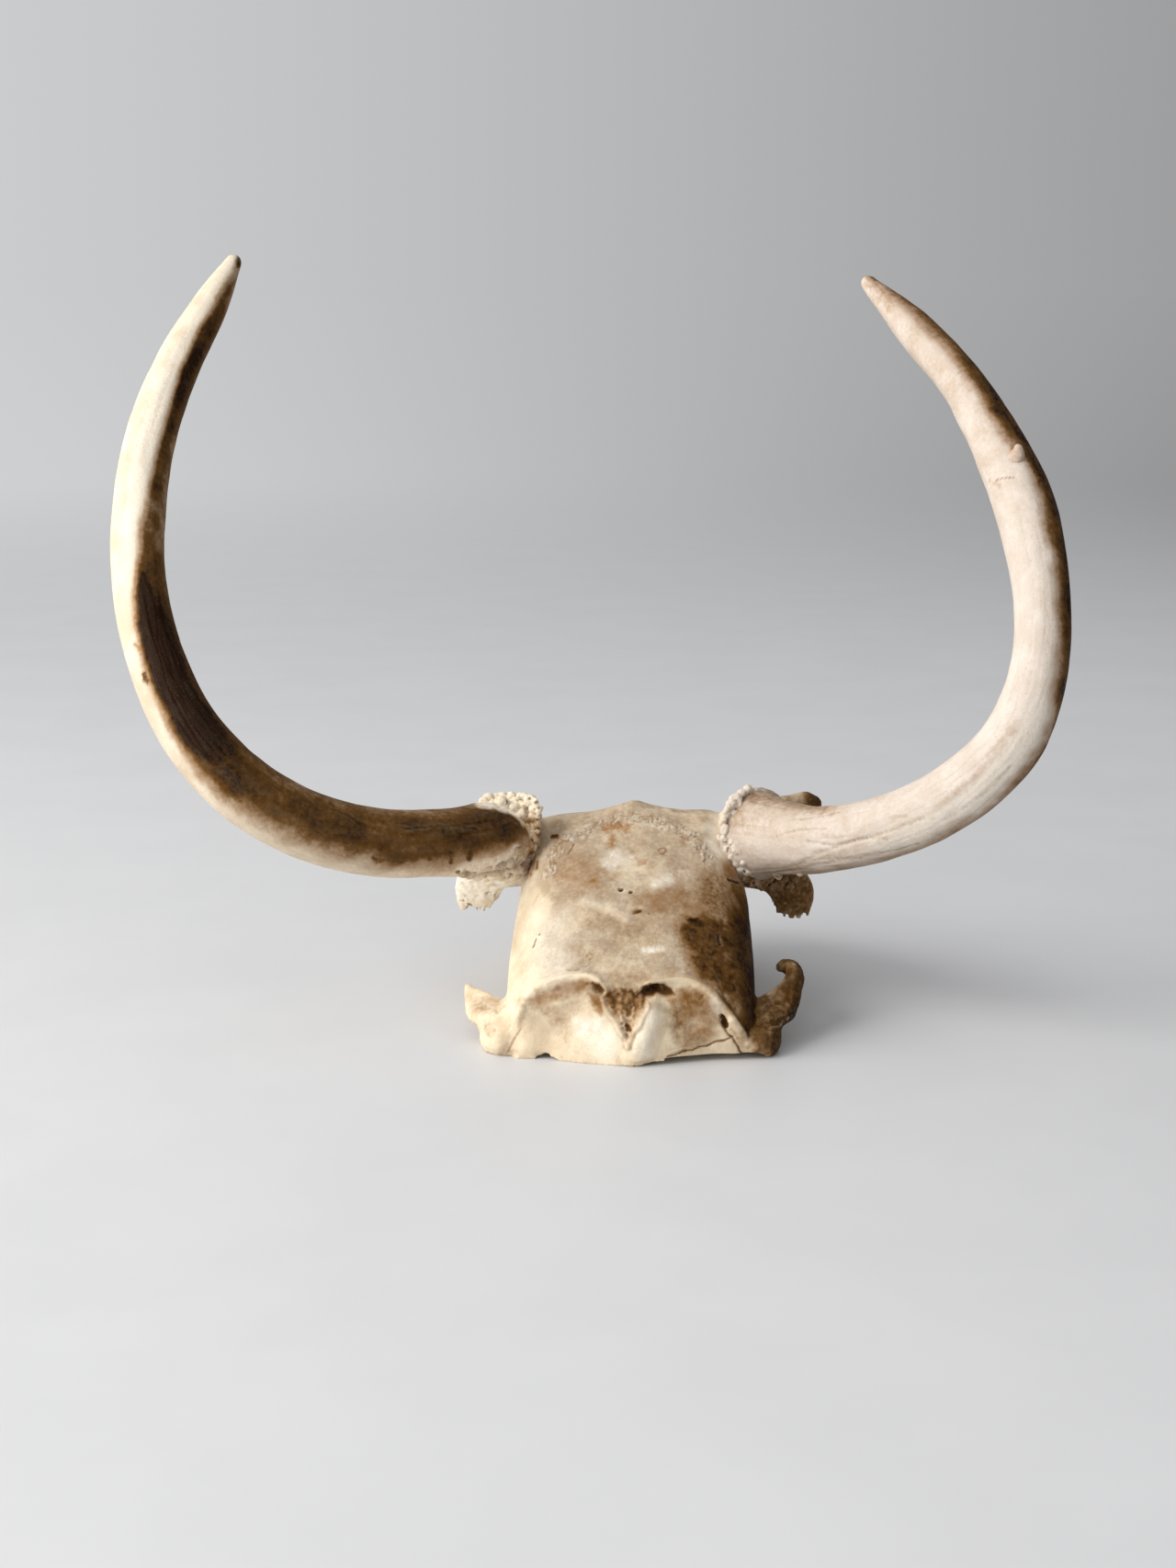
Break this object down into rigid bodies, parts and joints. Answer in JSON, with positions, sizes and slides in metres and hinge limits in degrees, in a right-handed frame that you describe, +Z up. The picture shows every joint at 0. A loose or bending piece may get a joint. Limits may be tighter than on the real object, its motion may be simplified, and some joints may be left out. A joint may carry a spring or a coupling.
{
  "type": "deer skull",
  "caption": "Sawn skull cap of a young buck deer with its antlers: arched braincase, occipital plate, broken orbit processes and curved single-beam antlers on knobbed burrs.",
  "frame": {"origin": "on the sawn underside, on the midline, just inside the rear face of the occipital plate", "axes": "+Z up, the deer faces +Y, so the back of the skull faces -Y and the deer's left side is -X"},
  "size_m": [0.3146, 0.1433, 0.2564],
  "materials": {
    "bone_cap": "dry matte bone, cream with tan and amber stains",
    "bone_roof": "dry matte bone, weathered grey tan with chalky patches",
    "bone_occiput": "dry matte bone, cream with brown blotches under the crest",
    "antler_left": "worn antler, cream outside and dark brown on its inner side",
    "antler_right": "worn antler, pale pinkish cream with fine lengthwise grooves",
    "burr_bone": "matte knobbly antler base, cream with dark pits"
  },
  "bodies": {
    "root": {"occipital": "bone_occiput", "parietal_left": "bone_roof", "parietal_right": "bone_roof", "temporal_left": "bone_cap", "temporal_right": "bone_cap", "frontal_left": "bone_cap", "frontal_right": "bone_cap", "orbit_wall_left": "bone_cap", "orbit_wall_right": "bone_cap", "burr_left": "burr_bone", "burr_right": "burr_bone", "beam_left": "antler_left", "beam_right": "antler_right", "brow_tine_left": "burr_bone", "brow_tine_right": "burr_bone", "tine_stub_right": "antler_right"}
  },
  "joints": []
}
